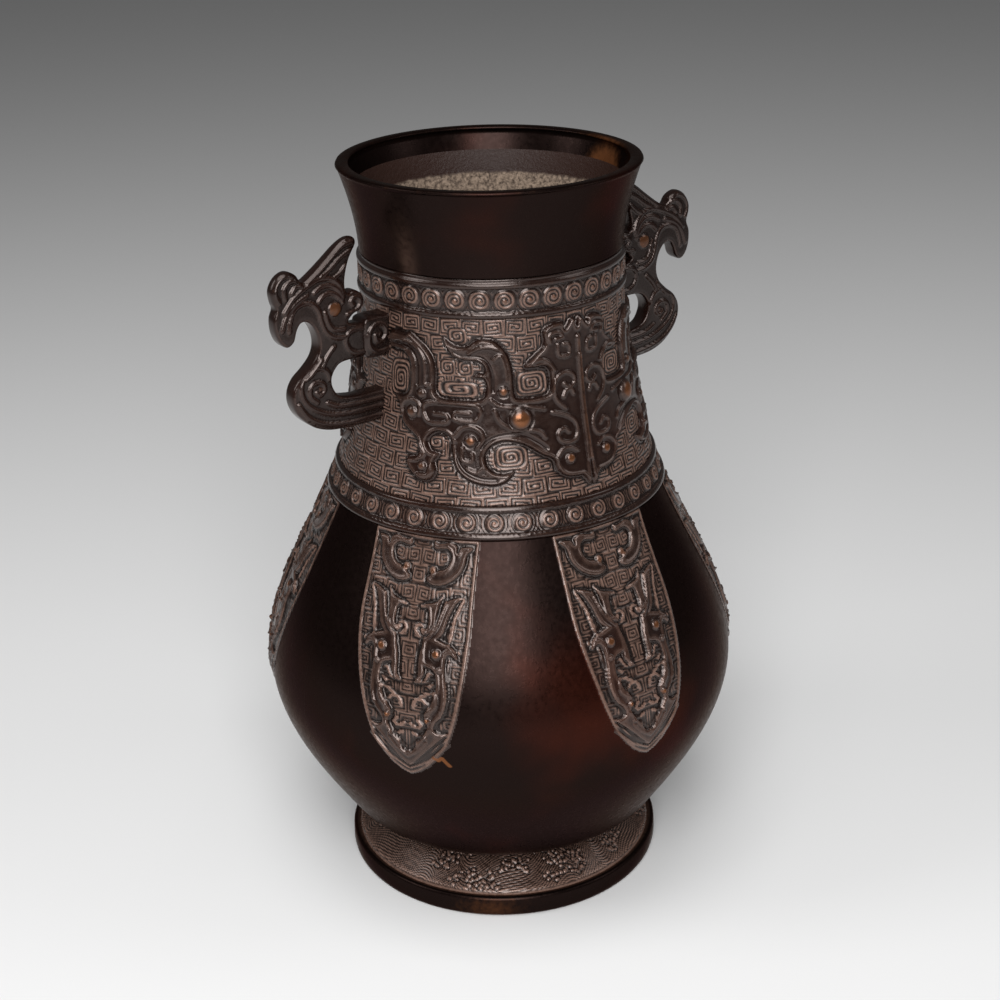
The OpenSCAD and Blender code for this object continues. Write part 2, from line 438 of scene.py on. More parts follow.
def patinated_bronze(name, dark, warm, rough_by, shine, metal_by, edge):
    """Cast bronze under a dark brown patina. The eye sees a deep satin brown that goes redder where the
    patina is thin, grey-tan dust in the ground, painted near black in its hollows as shade and paler on
    what stands up as highlight, and gold-brown metal where hands rub and where a highlight is painted in it."""
    material, tree = new_material(name)
    place = add(tree, "ShaderNodeTexCoord", out="Object")
    dust, rub_and_highlight, crest, warmth = (add(tree, "ShaderNodeAttribute", out="Fac", attribute_name=n)
                                for n in ("dust", "rub_and_highlight", "crest", "warm"))
    cloud, fine, grit = (add(tree, "ShaderNodeTexNoise", {
        "Vector": place, "Scale": per_metre(width), "Detail": detail, "Roughness": 0.55})
        for width, detail in ((CLOUD, 3.0), (SPECK, 4.0), (GRIT, 3.0)))

    thin = add(tree, "ShaderNodeMath", {0: cloud, 1: warmth}, **SUM)
    redder = add(tree, "ShaderNodeMapRange", {"Value": thin, "From Min": 0.52, "From Max": 0.92}, **SOFTLY)
    coat = add(tree, "ShaderNodeMix", {FACTOR: redder, COLOUR_A: srgb(dark), COLOUR_B: srgb(warm)}, **BLEND)

    # Painted light and shade: the dust goes near black in hollows and pale on raised tops, by how far each
    # point stands above its surroundings
    lit_share = add(tree, "ShaderNodeMapRange", {"Value": crest, "From Min": -0.3, "From Max": 0.5}, **SOFTLY)
    shaded_powder = add(tree, "ShaderNodeMix", {
        FACTOR: lit_share, COLOUR_A: srgb(POWDER_IN_SHADE), COLOUR_B: srgb(POWDER_LIT)}, **BLEND)
    patchy = add(tree, "ShaderNodeMapRange", {
        "Value": fine, "From Min": 0.25, "From Max": 0.6, "To Min": 0.5}, **SOFTLY)
    spread = add(tree, "ShaderNodeMath", {0: dust, 1: patchy}, **PRODUCT)
    dusty_and_shaded = add(tree, "ShaderNodeMix", {FACTOR: spread, COLOUR_A: coat, COLOUR_B: shaded_powder}, **BLEND)

    # Gold-brown rubbed metal, which in a few places is a painted highlight instead of wear
    rubbed_and_highlight = add(tree, "ShaderNodeMath", {0: fine, 1: 0.35, 2: rub_and_highlight}, **PRODUCT_AND_SUM)
    worn_and_highlight = add(tree, "ShaderNodeMapRange", {"Value": rubbed_and_highlight, "From Min": 0.45, "From Max": 1.1}, **SOFTLY)
    colour = add(tree, "ShaderNodeMix", {
        FACTOR: worn_and_highlight, COLOUR_A: dusty_and_shaded, COLOUR_B: srgb(RUBBED_METAL_AND_HIGHLIGHT)}, **BLEND)
    metal = add(tree, "ShaderNodeMapRange", {"Value": worn_and_highlight, "To Min": metal_by, "To Max": 0.65}, **SOFTLY)

    satin = add(tree, "ShaderNodeMapRange", {
        "Value": fine, "From Min": 0.3, "From Max": 0.7,
        "To Min": rough_by - 0.05, "To Max": rough_by + 0.05}, **SOFTLY)
    rough = add(tree, "ShaderNodeMath", {0: dust, 1: 0.08, 2: satin}, **PRODUCT_AND_SUM)

    # Rubbing leaves marks ten times as tall as they are wide, over the grit of the mould
    upright = add(tree, "ShaderNodeMapping", {
        "Vector": place, "Scale": (per_metre(MARK), per_metre(MARK), per_metre(10 * MARK))})
    streaks = add(tree, "ShaderNodeTexNoise", {
        "Vector": upright, "Scale": 1.0, "Detail": 3.0, "Roughness": 0.55})
    marks = add(tree, "ShaderNodeBump", {"Strength": 0.12, "Distance": 0.2 * MM, "Height": streaks})
    grain = add(tree, "ShaderNodeBump", {
        "Strength": 0.2, "Distance": 0.15 * MM, "Height": grit, "Normal": marks})
    surface = add(tree, "ShaderNodeBsdfPrincipled", {
        "Base Color": colour, "Metallic": metal, "Roughness": rough, "Specular IOR Level": shine,
        "Specular Tint": (*edge, 1), "Normal": grain})
    add(tree, "ShaderNodeOutputMaterial", {"Surface": surface})
    return material


def sandy_inside():
    """The inside of the casting, never cleaned up: the eye sees rough, pale, sandy grains below the lip."""
    material, tree = new_material("rough_cast_inside")
    place = add(tree, "ShaderNodeTexCoord", out="Object")
    dust = add(tree, "ShaderNodeAttribute", out="Fac", attribute_name="dust")
    grains, ragged = (add(tree, "ShaderNodeTexNoise", {
        "Vector": place, "Scale": per_metre(width), "Detail": detail, "Roughness": rough})
        for width, detail, rough in ((SAND_GRAIN, 5.0, 0.7), (SAND_PATCH, 4.0, 0.55)))
    pale = add(tree, "ShaderNodeMapRange", {"Value": grains, "From Min": 0.3, "From Max": 0.7}, **SOFTLY)
    sand = add(tree, "ShaderNodeMix", {
        FACTOR: pale, COLOUR_A: srgb(SAND_SUNK), COLOUR_B: srgb(SAND_RAISED)}, **BLEND)
    edge = add(tree, "ShaderNodeMath", {0: ragged, 1: 0.6, 2: dust}, **PRODUCT_AND_SUM)
    bare = add(tree, "ShaderNodeMapRange", {"Value": edge, "From Min": 0.55, "From Max": 0.95}, **SOFTLY)
    colour = add(tree, "ShaderNodeMix", {FACTOR: bare, COLOUR_A: srgb(SKIN_INSIDE), COLOUR_B: sand}, **BLEND)
    rough = add(tree, "ShaderNodeMapRange", {"Value": bare, "To Min": 0.45, "To Max": 0.85}, **SOFTLY)
    bump = add(tree, "ShaderNodeBump", {"Strength": 0.7, "Distance": 0.6 * MM, "Height": grains})
    surface = add(tree, "ShaderNodeBsdfPrincipled", {
        "Base Color": colour, "Roughness": rough, "Specular IOR Level": 0.25, "Normal": bump})
    add(tree, "ShaderNodeOutputMaterial", {"Surface": surface})
    return material


# Dark and thin patina, roughness, specular level, metallic and the colour of its edge-on shine
PATINA = patinated_bronze("patinated_bronze", "#1d1412", "#3b1a12", 0.31, 0.25, 0.85, (0.5, 0.43, 0.4))
RELIEF = patinated_bronze("patinated_relief", "#1a0d09", "#2b150e", 0.20, 0.6, 0.12, (1, 0.86, 0.81))
WORN = patinated_bronze("worn_bronze", "#180d0a", "#2e1710", 0.21, 0.5, 0.12, (1, 0.86, 0.81))
INSIDE = sandy_inside()


# The plain turned wall, with a rebate where each band of relief lies

WALL_COLUMNS = 288
SAND_TOP_Z = 285.0
APRON_BACK_R = FOOT_R - LEDGE_W - REBATE - 1

# The floor under the vessel and the floor inside it, and the small hole that closes the turned line
FLOOR_UNDER_Z = WAIST_Z + WALL - FLOOR_T
FLOOR_Z = WAIST_Z + WALL
AXIS_R = 0.05

# The lip's outer and inner edges and the foot's band with its rounded edges, as [radius, height]
LIP_OUTER = [
    [RIM_R - 2.0, HEIGHT], [RIM_R - LIP_EASE, HEIGHT], [RIM_R - 0.35, HEIGHT - 0.2],
    [RIM_R, HEIGHT - LIP_EASE]]
LIP_INNER = [
    [RIM_R - LIP_W, HEIGHT - LIP_EASE], [RIM_R - LIP_W + 0.3, HEIGHT - 0.25],
    [RIM_R - LIP_W + LIP_EASE, HEIGHT]]
FOOT_BAND = [
    [APRON_BACK_R, EDGE_H + LEDGE_W / 2 - 1.2], [APRON_BACK_R, EDGE_H - 0.6], [FOOT_R - 3.2, EDGE_H - 0.2],
    [FOOT_R - 2.6, EDGE_H + 0.3], [FOOT_R - 1.3, EDGE_H + 0.3], [FOOT_R - 0.5, EDGE_H - 0.1],
    [FOOT_R - 0.1, EDGE_H - 0.9], [FOOT_R, EDGE_H / 2], [FOOT_R, 1.6 * FOOT_EASE],
    [FOOT_R - 0.15 * FOOT_EASE, 0.9 * FOOT_EASE], [FOOT_R - 0.5 * FOOT_EASE, 0.35 * FOOT_EASE],
    [FOOT_R - FOOT_EASE, 0]]
UNDERSIDE = [
    [FOOT_R - FOOT_WALL, 0], [FOOT_R - FOOT_WALL, EDGE_H - LEDGE_W], [WAIST_R - FOOT_WALL, APRON_Z - LEDGE_W],
    [WAIST_R - FOOT_WALL, FLOOR_UNDER_Z], [AXIS_R, FLOOR_UNDER_Z]]
INNER_FLOOR = [[AXIS_R, FLOOR_Z], [WAIST_R - 8, FLOOR_Z]]

# Places on the wall as [degrees, height], each with how far it spreads: a scuff on the lip, a painted
# gold-brown highlight inside it and a rubbed stretch of the foot
SCUFF = (-73, 270), (4, 14)
PAINTED_GOLD_HIGHLIGHT = (82, 289), (14, 10)
RUBBED_FOOT = (-42, 4), (14, 6)


def cast_wall():
    """The wall of the vessel and its foot in one closed line, let in under the bands."""
    lip = np.linspace(0, reach(WHORLS_TOP_Z), 34)[1:]
    under_line, under_out = along(np.linspace(lip[-1] + 0.05, reach(WAIST_Z + 0.2), 10))
    neck = np.linspace(2.5, reach(230), 36)
    body = np.linspace(reach(224), reach(WAIST_Z + 8), 24)
    inside_line, inside_out = along(np.r_[neck, body])
    inside_line = inside_line - WALL * inside_out
    inside_line = inside_line[inside_line[:, 1] > FLOOR_Z + 0.4]
    line = np.vstack([
        LIP_OUTER, along(lip)[0], under_line - REBATE * under_out,
        [[WAIST_R - REBATE, WAIST_Z], [WAIST_R - REBATE, APRON_Z - 1]],
        FOOT_BAND, UNDERSIDE, INNER_FLOOR, inside_line[::-1], LIP_INNER])

    row = np.arange(len(line))[:, None]
    radius, z = line[:, :1], line[:, 1:]
    angle = (np.arange(WALL_COLUMNS) * 360 / WALL_COLUMNS)[None, :]
    inner = row >= len(line) - len(LIP_INNER) - len(inside_line) - len(INNER_FLOOR)
    rim = (row < 5) | (row > len(line) - 4)
    foot_edge = ~inner & (z < EDGE_H)
    ledge = (np.abs(z - EDGE_H - 0.1) < 0.6) & (radius > WAIST_R) & (radius < FOOT_R - 2)
    sand = inner * swell((SAND_TOP_Z - z) / 6)
    dust = np.maximum(sand, ~inner * 0.5 * spot(angle, z, *SCUFF)) + 0.9 * ledge
    # Inside the lip on the right, a patch in the rubbed-metal colour is a painted highlight
    rub_and_highlight = 0.3 * rim + 1.1 * inner * spot(angle, z, *PAINTED_GOLD_HIGHLIGHT)
    rub_and_highlight = rub_and_highlight + foot_edge * (0.2 + 0.15 * (z < 1.5) + 0.3 * spot(angle, z, *RUBBED_FOOT))
    # The dust of the wall gets one even painted shading, a little towards painted light
    fields = {"dust": dust + 0 * angle, "rub_and_highlight": rub_and_highlight + 0 * angle, "crest": 0 * z + 0 * angle + 0.3}
    rough = (inner & (z < 290))[:, 0]
    turned_piece("cast_wall", line, WALL_COLUMNS, [PATINA, INSIDE], rough.astype(int), fields)


def ridge(z, at):
    """Lift of a ridge whose middle is at height at."""
    return RIDGE_H * np.clip(1 - (np.abs(z - at) / (RIDGE_W / 2)) ** 4, 0, 1) ** 0.5


def sheet_rows(z_top, z_bottom, step):
    """Points and outward directions down the vessel line between two heights."""
    near, far = reach(z_top), reach(z_bottom)
    return along(np.linspace(near, far, int(round((far - near) / step)) + 1))


# The turns of a whorl's line are so far apart, round a stud of this radius
COIL = 1.45
STUD_R = 0.9
STUD_RISE = 0.75


def whorl_band(name, z_top, z_bottom, ridges, radius, count, columns):
    """A band of so many small whorls of one radius between two ridges."""
    line, out = sheet_rows(z_top, z_bottom, 0.4)
    degrees = np.arange(columns) * 360 / columns
    relief = Relief(degrees[None, :], line[:, 1][:, None])
    middle = sum(ridges) / 2
    pitch = 360 / count
    across = (((relief.x + pitch / 2) % pitch) - pitch / 2) * math.radians(1) * wall_r(middle)
    up = relief.z - middle
    rho = np.hypot(across, up)
    wind = np.arctan2(up, across) / (2 * math.pi)
    coil = 0.5 + 0.5 * np.cos(2 * math.pi * (rho / COIL - wind))
    disc = swell((radius - rho) / 0.6)
    relief.lift = disc * (0.15 + 0.65 * coil)
    relief.lift = np.maximum(relief.lift, STUD_RISE * np.sqrt(np.clip(1 - (rho / STUD_R) ** 2, 0, 1)))
    between = (1 - disc) * (np.abs(up) < radius + 0.6)
    relief.lift += between * 0.2 * np.cos(2 * math.pi * (rho - radius) / 1.1)
    rib = np.maximum(ridge(relief.z, ridges[0]), ridge(relief.z, ridges[1]))
    inside = (relief.z < ridges[0]) & (relief.z > ridges[1])
    relief.lift = np.where(inside, relief.lift, 0) + rib
    relief.dust = np.where(inside, 0.62, 0.1) * np.clip(1 - 1.2 * rib, 0, 1)
    relief.rub_and_highlight = np.clip(rib - 0.9, 0, 1) * 1.6 + 0.5 * (rho < 0.7)
    shell(name, np.radians(degrees), line, out, relief, [RELIEF], True)


# The mask, drawn on its right half, as [degrees from its middle, millimetres above the band's foot]

FOREHEAD_AND_EAR = [
    [0, 65.5], [5.7, 65.5], [6, 67.7], [9, 68.4], [12, 68], [14.6, 67], [15.7, 65], [15.5, 60.5], [19, 57.5],
    [23, 54.5], [23.7, 52.7], [20, 52.3], [16, 52.6], [14, 51.4], [13.3, 49], [13.3, 44.5], [14.4, 42.3],
    [17, 41.6], [22, 41.3], [26.7, 41.6]]
HORN = [
    [28.1, 43], [28.5, 48], [28.7, 52], [30, 57], [32.5, 61], [36, 63.6], [40.5, 64.3], [44, 63.3],
    [46.5, 61.5], [50.5, 61.3], [54, 62.5], [57, 64.5], [56, 61.5], [54.5, 59], [51, 56.7], [47, 56],
    [43, 55.8], [40.6, 54.6], [39.8, 52.6], [40.4, 51.3], [42, 51.4], [45, 49.5], [43, 49.6], [40.5, 49.4],
    [39.3, 47.5], [39.2, 45], [40.2, 42.5]]
ARM = [
    [43, 41.3], [50, 41], [56, 41.2], [59, 42.3], [60, 44.5], [60, 50], [61, 55.5], [64, 59.5], [68, 62.3],
    [72, 64.5], [75, 63.3], [82, 63.3], [83.5, 60.5], [82, 57.3], [76, 57], [73, 55.5], [71.5, 53], [71, 48],
    [71.7, 42.5], [74.5, 40], [79, 39.2], [76.5, 37.5], [75, 35.5], [74.5, 32]]
LEG_AND_CLAW = [
    [73, 29.5], [70, 27.4], [67, 25.5], [65.3, 22], [66, 18.8], [68, 18], [70, 17.5], [70.3, 16],
    [69.7, 14.5], [66, 11], [62, 10], [59, 11.5], [58, 14.5], [59, 17.5], [57, 20.7], [60.5, 21.5],
    [62.3, 24.5], [61, 27], [58.5, 28.6], [55, 28.4]]
TUSK_AND_JAW = [
    [52.8, 26.5], [52.2, 22], [51, 17], [48, 13], [43, 10.5], [37, 9.7], [33, 10.7], [31, 12.3], [29.3, 14.8],
    [31.5, 14.4], [34, 14.2], [37, 15], [39.3, 17.6], [39.7, 21], [37.7, 24], [33.5, 25.8], [28.5, 25.2],
    [24, 23.3], [19, 19.8], [15, 17.6], [13.6, 14], [12, 11.6], [9, 10.1], [4, 9.6], [0, 9.6]]
HALF_MASK = FOREHEAD_AND_EAR + HORN + ARM + LEG_AND_CLAW + TUSK_AND_JAW
MASK_FOOT_Z = 180.2

# Lines sunk into the mask and lines raised on it, and its beads as [place, radius, rub]
MASK_GROOVES = [
    [[56, 61], [52, 58.8], [48, 57.6], [41.5, 57.4], [38.3, 55], [36.7, 50.5], [36.5, 45]],
    [[82, 58.8], [73, 58.9], [69, 56.3], [67.6, 51.5], [67.5, 45.5]],
    [[41, 24], [37, 27.2], [31, 28.4], [25, 27.7], [20, 24.7], [17, 22]],
    [[51, 25], [50.3, 20], [47.5, 15.5], [42, 12.6], [36, 12]]]
MASK_LINES = [
    [[36, 56.5], [33.3, 58], [31.5, 53.5], [31, 48.5]],
    [[34.5, 60.6], [38.2, 61.6], [42.5, 60.8], [46, 59]],
    [[82, 61], [72, 61.2], [67.3, 59], [64.8, 55.5], [64, 50.5], [64, 46], [61.8, 45.8]],
    [[59.5, 35.5], [54.7, 35.4], [54.7, 32.6], [62.4, 32.6], [62.6, 39.2], [43.2, 39.5], [43, 33.8], [51, 34],
     [50.8, 36.5], [45.5, 36.5]],
    [[74, 33], [74.3, 36], [72.6, 38.6], [69, 39.5], [66, 37.8], [66.2, 34.2]],
    [[51, 28], [48.5, 31], [44.5, 31.6], [41.2, 29.6], [40.7, 26.5], [42.5, 23.9]],
    [[48, 23.5], [48, 19.3], [44.6, 18.6], [44.5, 21.5]],
    [[46, 15.7], [43, 14.7], [40.5, 16.3]],
    [[37.5, 41.5], [34.5, 39.4], [30, 38.6], [23, 38.3], [17, 37]],
    [[36, 37.5], [34.5, 34], [31.5, 31.5], [28, 29.8], [23, 29.8], [19, 28.6], [17.3, 26.3]],
    [[13, 61.3], [13, 64.2], [9.3, 64.8], [7.2, 62.8], [10.3, 62.2]],
    [[9.6, 60.2], [9.2, 56], [4.7, 55.6], [4.7, 59.2], [7, 60]],
    [[8, 35.8], [11.5, 39.5], [12.2, 44], [10.7, 47.7], [7, 49.2], [3.6, 47.8], [3, 44.8], [5.5, 43.3],
     [7.7, 45]],
    [[8.4, 40.2], [7.2, 42.2], [4.8, 42.5], [3.9, 40.7]],
    [[13.5, 35.2], [8.5, 33.4], [4.8, 30.7], [3.7, 27], [5, 23.8], [8.3, 22.9], [11.3, 24.3], [11.8, 27.2],
     [9.5, 28.4], [7.6, 26.9]],
    [[21, 54.3], [17, 55.4], [13.6, 53.6], [11.4, 50.5]],
    [[13.2, 13.6], [13.7, 17], [11.4, 20.3], [8, 21.2], [4.9, 19.5]],
    [[65, 23.5], [63, 20.5], [63.8, 18.6], [66.3, 17.4]],
    [[60, 15.5], [61, 12.5], [64.5, 12.1]]]
MASK_BEADS = [
    [[32.5, 44.6], 2.0, 0.8], [[65.3, 42.3], 1.9, 0.5], [[69.3, 34.8], 2.3, 0.6], [[63.2, 15.4], 1.8, 0.6],
    [[45.2, 26.2], 2.2, 0.9], [[8.2, 17], 2.0, 1.0]]
MASK_EYE = [[26.3, 34], 4.3]
MASK_NOSE = [[0, 15.5], [0, 24], [0, 45], [0, 61.5]]

# Heights of the mask, its lip, its lines and the threads round it, the depth of the ground, and widths
MASK_RISE = 1.45
MASK_LIP_RISE = 0.45
THREAD_RISE = 0.45
GROUND_DEPTH = 0.3
LINE_W = 1.5
LINE_RISE = 0.8
GROOVE_DEPTH = 0.6
BEAD_RISE = 1.1
EYE_RISE = 2.3
NOSE_W = 2.6
NOSE_RISE = 1.0

# Tiles of the leiwen ground that are drawn by themselves, as [middle, half size]
LEIWEN_TILES = [
    [[47.5, 53], [3.6, 3.3]], [[55, 53], [3.6, 3.3]], [[50.2, 45.1], [8.4, 3]], [[77, 46], [5.6, 7.9]],
    [[21, 46.8], [6.7, 4.8]], [[30.5, 20], [6.6, 4.6]], [[58.7, 24.7], [3.6, 2.8]], [[51, 65], [4.5, 3.3]]]


def above_foot(points):
    """Points of a mask with their real heights."""
    return np.asarray(points, float) + [0, MASK_FOOT_Z]


def mask_band(name, turn, columns, step):
    """Half of the neck band with one mask on its leiwen ground."""
    line, out = sheet_rows(MASK_TOP_Z, MASK_END_Z, step)
    half = columns // 2
    degrees = np.r_[np.linspace(0, 89.95, half), 90]
    relief = Relief(degrees[None, :], line[:, 1][:, None])
    body = rounded(above_foot(HALF_MASK), 4, closed=True)
    depth = relief.depth_in(np.vstack([body, above_foot([[-3, 9.6], [-3, 65.5]])]))

    ground = leiwen(relief.x + NECK_TILE[0] / 2, relief.z, NECK_TILE, MASK_FOOT_Z - 1.0)
    for middle, size in LEIWEN_TILES:
        own, inward = threads(relief.x, relief.z, above_foot(middle), size, 4.0)
        ground = np.where(inward > 0, own, ground)
    # Threads stop short of the mask at a sunk moat, and the mask has a raised lip along its edge
    moat = swell((-depth - 0.25) / 0.5)
    sunk = moat * (THREAD_RISE * ground - GROUND_DEPTH) - GROUND_DEPTH * (1 - moat)
    relief.lift = np.where(depth < 0, sunk, MASK_RISE * swell(depth))
    relief.lift += MASK_LIP_RISE * np.exp(-((depth - 1.1) / 0.5) ** 2)
    # The dust fades out next to the mask, leaving a dark band round it as painted shade in the moat
    relief.dust = np.where(depth < 0, 0.95 * swell((-depth - 0.1) / 0.7), 0.1)
    # Gold-brown wear along the mask's lip, which also serves as a painted highlight along its edge
    relief.rub_and_highlight = 0.4 * np.exp(-((depth - 0.9) / 0.4) ** 2)

    for points in MASK_GROOVES:
        relief.stroke(rounded(above_foot(points)), LINE_W, GROOVE_DEPTH, layer="cuts")
    for points in MASK_LINES:
        relief.stroke(rounded(above_foot(points)), LINE_W, LINE_RISE, rub_and_highlight=0.25)
    for place, radius, rub_and_highlight in MASK_BEADS:
        relief.bead(above_foot(place), radius, BEAD_RISE, 0.75 * rub_and_highlight)
    relief.bead(above_foot(MASK_EYE[0]), MASK_EYE[1], EYE_RISE, rub_and_highlight=0.8)
    relief.stroke(above_foot(MASK_NOSE), NOSE_W, NOSE_RISE, rub_and_highlight=0.4)
    relief.settle()

    for sheet in ("lift", "dust", "rub_and_highlight", "warm"):
        right = getattr(relief, sheet)
        setattr(relief, sheet, np.hstack([right[:, :0:-1], right]))
    whole = np.radians(np.r_[-degrees[:0:-1], degrees] + turn)
    shell(name, whole, line, out, relief, [RELIEF], False)


# A hanging blade, drawn on its right half, as [degrees from its middle, height]

BLADE_EDGE = [
    [18.3, 170.6], [17.4, 160], [16.8, 150], [16.2, 140], [15, 130], [13.5, 120], [11.8, 110], [9.6, 100],
    [7.8, 95], [5.4, 90], [2.6, 86], [0, 84]]
LEAF_CURL = [
    [2.6, 156.8], [3.8, 154.8], [6.5, 154.4], [9.8, 155.8], [12.6, 158.8], [14, 162], [14.6, 165.2],
    [16, 167.4], [17, 168.2], [14.2, 168.6], [12.4, 168], [11.6, 166.4], [11.4, 168.6], [9, 169.8],
    [5.6, 168.9], [3.9, 169.6], [4.2, 166.9], [7.8, 167.2], [9.6, 165.4], [9.3, 162.6], [7.8, 160.4],
    [5.7, 159.6]]
WING = [
    [14.6, 151.4], [12.6, 149.5], [10.6, 144.5], [9.2, 139], [7.4, 136.2], [4.9, 133.8], [4.1, 130.4],
    [4.6, 125], [3.2, 121.6], [2, 121], [2.6, 123.8], [2.6, 128], [3.2, 133], [4.6, 137.2], [6.6, 140.4],
    [8, 145.5], [9.8, 150]]
CHEEK = [
    [3.8, 136.6], [6.8, 137], [9.2, 136], [11.4, 134.6], [12.8, 131.6], [12.6, 130], [11, 131.4], [10, 130],
    [9.7, 124], [9.8, 117], [8.8, 110.4], [7, 107], [6.6, 104.4], [7.8, 103.2], [9.8, 103.4], [8.2, 101],
    [5.4, 96.6], [2.4, 91.4], [0, 88.2], [-1, 90], [-1, 96.4], [0.6, 95], [2.3, 99], [4.6, 104], [4.4, 107],
    [4, 110], [5.4, 113], [6.4, 116.5], [7.2, 121], [6.6, 125.6], [3.6, 128]]
BROW = [
    [8.4, 151.8], [6.6, 149.4], [3.2, 147.9], [1.6, 146.8], [4.1, 146.6], [4.6, 144], [4.6, 141],
    [3.4, 137.6], [5.2, 137.9], [6.9, 140], [7.2, 144], [7.6, 148]]
BLADE_LINES = [
    [[9.2, 149.5], [7.8, 143], [6, 139], [4.4, 137], [2.4, 137.3], [1.3, 139.2], [2.3, 140.8], [3.9, 140]],
    [[14.2, 150.4], [12.3, 145], [11.2, 139], [10.6, 135]],
    [[13.2, 132.5], [11.2, 133.6], [9.2, 131.8], [8.8, 127]],
    [[10.6, 130.5], [9.9, 124], [9.8, 117], [8.6, 111.5]],
    [[2, 121.2], [4.2, 121.7], [5.4, 124.5], [6.6, 124.2], [7, 121.5], [5.7, 120]],
    [[3.2, 115.5], [5.4, 117.6], [7, 116.6], [7, 113.5], [5.8, 111.2]],
    [[1.6, 112.2], [2.2, 114.6], [3.9, 114.8], [5.2, 112.6], [5.4, 109.6]],
    [[0.9, 105.4], [2.2, 104.2], [3.4, 105.4], [2.5, 107]],
    [[5.3, 104.5], [4, 102.2], [2.6, 101], [1.4, 102]],
    [[4.6, 99.5], [2.8, 95.8], [0, 92.6]], [[2.4, 99.5], [1.2, 97], [0, 95.3]],
    [[9, 101], [6.4, 97], [3, 91.5], [0, 88]], [[9.6, 99], [7, 94.6], [3.4, 89.6], [0, 86.4]]]
BLADE_BEADS = [
    [[4.4, 159.4], 1.7, 1.0], [[3.6, 139], 1.3, 0.7], [[7.4, 131.6], 1.9, 1.2], [[4.9, 107.8], 1.2, 1.3],
    [[8.2, 126.3], 0.9, 0.2], [[3, 121.9], 1.0, 0.5], [[6.6, 117.8], 1.0, 0.5], [[4.3, 101], 0.8, 0.3]]
BLADE_MM_PER_DEGREE = 1.42
BLADE_TIP_Z = 84.0
BLADE_HALF = 19.5
BLADE_TURN = 60

# Below this height the ground of a blade is chevrons, with lines this far apart
CHEVRONS_Z = 104.0
CHEVRON = 1.25

# Heights of a blade's curls, their lips, its rim, its lines and beads, and the width of its lines
CURL_RISE = 0.85
CURL_LIP_RISE = 0.35
BLADE_RIM_RISE = 0.45
BLADE_LINE_W = 1.2
BLADE_LINE_RISE = 0.55
BLADE_BEAD_RISE = 1.0

# How far the tip of the blade at the middle of the photo leans, in degrees
BLADE_LEAN = 2.4

# A small bare mark beside that tip, and the middle and spread of the red patch on the belly
BARE_MARK = [[-54, 93], [-53, 91.6], [-52.2, 93], [-51.4, 91.4], [-50.4, 89.6]]
RED_PATCH = (-16, 108), (20, 26)


def blade_relief(degrees, heights):
    """The relief of one half of a blade, over degrees from its middle and heights."""
    relief = Relief(degrees[None, :], heights[:, None])
    edge = rounded(np.vstack([BLADE_EDGE, [[-3, BLADE_TIP_Z]], [[-3, 171]]]), 4)
    stretched = Relief(relief.x * BLADE_MM_PER_DEGREE, relief.z)
    scale = np.array([BLADE_MM_PER_DEGREE, 1])
    rim = stretched.depth_in(edge * scale)
    ground = leiwen(stretched.x, relief.z, BLADE_TILE, BLADE_TIP_Z)
    inside = swell((rim - 1.2) / 0.4)
    relief.lift = inside * (0.3 * ground - 0.28)
    chevrons = 0.5 + 0.5 * np.cos(2 * math.pi * rim / CHEVRON)
    low = swell((CHEVRONS_Z - relief.z) / 2) * inside
    relief.lift = relief.lift * (1 - low) + low * (0.36 * chevrons - 0.3)
    relief.lift += BLADE_RIM_RISE * np.exp(-((rim - 0.55) / 0.42) ** 2)
    relief.dust = swell((rim + 0.1) / 0.3) * (0.6 + 0.35 * swell((rim - 1) / 0.4))
    raised = np.full(relief.x.shape, -9.0)
    for outline in (LEAF_CURL, WING, CHEEK, BROW):
        raised = np.maximum(raised, stretched.depth_in(rounded(outline, 4, closed=True) * scale))
    form = swell(raised / 0.7)
    moat = np.exp(-((raised + 0.45) / 0.4) ** 2) * (raised < 0) * inside
    relief.lift = relief.lift * (1 - form) + form * CURL_RISE - 0.25 * moat
    relief.lift += CURL_LIP_RISE * np.exp(-((raised - 0.85) / 0.4) ** 2)
    relief.dust = np.clip(relief.dust - 0.75 * form, 0, 1)
    relief.rub_and_highlight = 0.2 * np.exp(-((raised - 0.85) / 0.35) ** 2)
    stretched.lift = relief.lift
    stretched.rub_and_highlight = relief.rub_and_highlight
    for points in BLADE_LINES:
        stretched.stroke(rounded(points) * scale, BLADE_LINE_W, BLADE_LINE_RISE, rub_and_highlight=0.25)
    for place, radius, rub_and_highlight in BLADE_BEADS:
        stretched.bead(np.asarray(place) * scale, radius, BLADE_BEAD_RISE, 0.6 * rub_and_highlight)
    stretched.settle()
    relief.lift, relief.rub_and_highlight = stretched.lift, stretched.rub_and_highlight
    relief.dust *= 1 - np.clip(relief.rub_and_highlight, 0, 1)
    return relief


